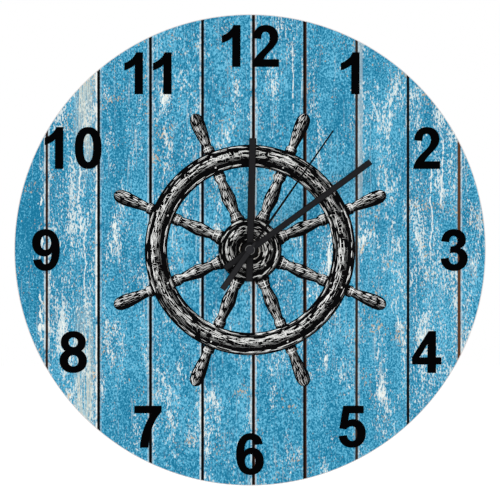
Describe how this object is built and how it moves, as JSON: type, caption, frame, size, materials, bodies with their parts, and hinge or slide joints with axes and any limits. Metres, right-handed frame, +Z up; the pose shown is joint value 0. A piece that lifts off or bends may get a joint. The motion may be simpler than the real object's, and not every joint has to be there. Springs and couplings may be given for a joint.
{
  "type": "wall clock",
  "caption": "Round printed wall clock: straight hour, minute and second hands on a board, with a battery quartz movement and a keyhole hanger behind.",
  "frame": {"origin": "on the wall plane, at the middle of the movement's back, straight behind the hand arbor", "axes": "+Y into the wall, so the face looks towards -Y; +Z up through twelve; +X to the viewer's right"},
  "size_m": [0.3048, 0.0332, 0.3048],
  "materials": {
    "board_fibre": "pale lacquered front edge, raw fibreboard back",
    "face_print": "satin printed film, weathered blue planks",
    "hand_black": "matt black paint",
    "cap_black": "satin black paint",
    "nickel_plate": "bright nickel",
    "brass": "turned brass",
    "gasket_rubber": "soft black rubber",
    "hanger_steel": "zinc-plated strip",
    "case_plastic": "moulded black plastic, fine spark texture",
    "knob_plastic": "moulded black plastic",
    "plate_plastic": "natural moulded plastic",
    "wheel_plastic": "natural acetal",
    "arbor_steel": "polished steel",
    "soft_iron": "annealed iron",
    "magnet": "sintered magnet",
    "copper_wire": "enamelled copper wire",
    "bobbin_plastic": "natural nylon",
    "circuit_laminate": "phenolic board",
    "chip_resin": "black resin",
    "crystal_can": "drawn can",
    "contact_strip": "nickel-plated spring strip",
    "cell_jacket": "plain printed jacket without words",
    "cell_terminal": "nickel-plated steel"
  },
  "bodies": {
    "clock_body": {"dial_board": "board_fibre", "dial_face_print": "face_print", "movement_case": "case_plastic", "movement_cover": "case_plastic", "train_plate": "plate_plastic", "stator_left": "soft_iron", "stator_right": "soft_iron", "coil_core": "soft_iron", "coil_bobbin": "bobbin_plastic", "coil_winding": "copper_wire", "circuit_board": "circuit_laminate", "driver_chip": "chip_resin", "quartz_crystal": "crystal_can", "contact_positive": "contact_strip", "contact_negative": "contact_strip", "threaded_bush": "brass", "slotted_nut": "brass", "front_washer": "brass", "rubber_gasket": "gasket_rubber", "hanger_plate": "hanger_steel"},
    "battery": {"battery_can": "cell_jacket", "battery_cap": "cell_terminal"},
    "rotor": {"rotor_magnet": "magnet", "rotor_pinion": "wheel_plastic"},
    "intermediate": {"intermediate_wheel": "wheel_plastic"},
    "second": {"second_wheel": "wheel_plastic", "second_shaft": "arbor_steel", "second_hand": "hand_black", "second_collet": "nickel_plate", "second_hand_cap": "cap_black"},
    "third": {"third_wheel": "wheel_plastic"},
    "centre": {"centre_wheel": "wheel_plastic", "clutch_washer": "arbor_steel"},
    "minute": {"minute_tube": "arbor_steel", "minute_hand": "hand_black", "minute_collet": "brass"},
    "motion": {"motion_wheel": "wheel_plastic"},
    "hour": {"hour_wheel": "wheel_plastic", "hour_hand": "hand_black", "hour_collet": "brass"},
    "knob": {"set_knob": "knob_plastic"}
  },
  "joints": [
    {"name": "second_hand_spin", "type": "hinge", "parent": "clock_body", "child": "second", "pos_m": [0, 0, 0], "axis": [0, 1, 0], "continuous": true},
    {"name": "minute_hand_spin", "type": "hinge", "parent": "clock_body", "child": "minute", "pos_m": [0, 0, 0], "axis": [0, 1, 0], "continuous": true},
    {"name": "hour_hand_spin", "type": "hinge", "parent": "clock_body", "child": "hour", "pos_m": [0, 0, 0], "axis": [0, 1, 0], "continuous": true},
    {"name": "motion_wheel_spin", "type": "hinge", "parent": "clock_body", "child": "motion", "pos_m": [0.008, 0, 0], "axis": [0, 1, 0], "continuous": true},
    {"name": "set_knob_spin", "type": "hinge", "parent": "clock_body", "child": "knob", "pos_m": [0.016, 0, 0], "axis": [0, 1, 0], "continuous": true},
    {"name": "rotor_spin", "type": "hinge", "parent": "clock_body", "child": "rotor", "pos_m": [0.00795, 0, 0.01015], "axis": [0, 1, 0], "continuous": true},
    {"name": "intermediate_wheel_spin", "type": "hinge", "parent": "clock_body", "child": "intermediate", "pos_m": [0.00495, 0, 0.00495], "axis": [0, 1, 0], "continuous": true},
    {"name": "third_wheel_spin", "type": "hinge", "parent": "clock_body", "child": "third", "pos_m": [-0.00537, 0, 0.00537], "axis": [0, 1, 0], "continuous": true},
    {"name": "centre_wheel_spin", "type": "hinge", "parent": "clock_body", "child": "centre", "pos_m": [0, 0, 0], "axis": [0, 1, 0], "continuous": true},
    {"name": "battery_lift", "type": "slide", "parent": "clock_body", "child": "battery", "axis": [0, 1, 0], "range_m": [0, 0.02]}
  ],
  "couplings": [
    {"joint": "hour_hand_spin", "follows": "minute_hand_spin", "ratio": 0.083333},
    {"joint": "motion_wheel_spin", "follows": "minute_hand_spin", "ratio": -0.33333},
    {"joint": "set_knob_spin", "follows": "minute_hand_spin", "ratio": 1},
    {"joint": "rotor_spin", "follows": "second_hand_spin", "ratio": 30},
    {"joint": "intermediate_wheel_spin", "follows": "second_hand_spin", "ratio": -6},
    {"joint": "third_wheel_spin", "follows": "second_hand_spin", "ratio": -0.13333},
    {"joint": "centre_wheel_spin", "follows": "second_hand_spin", "ratio": 0.016667}
  ]
}
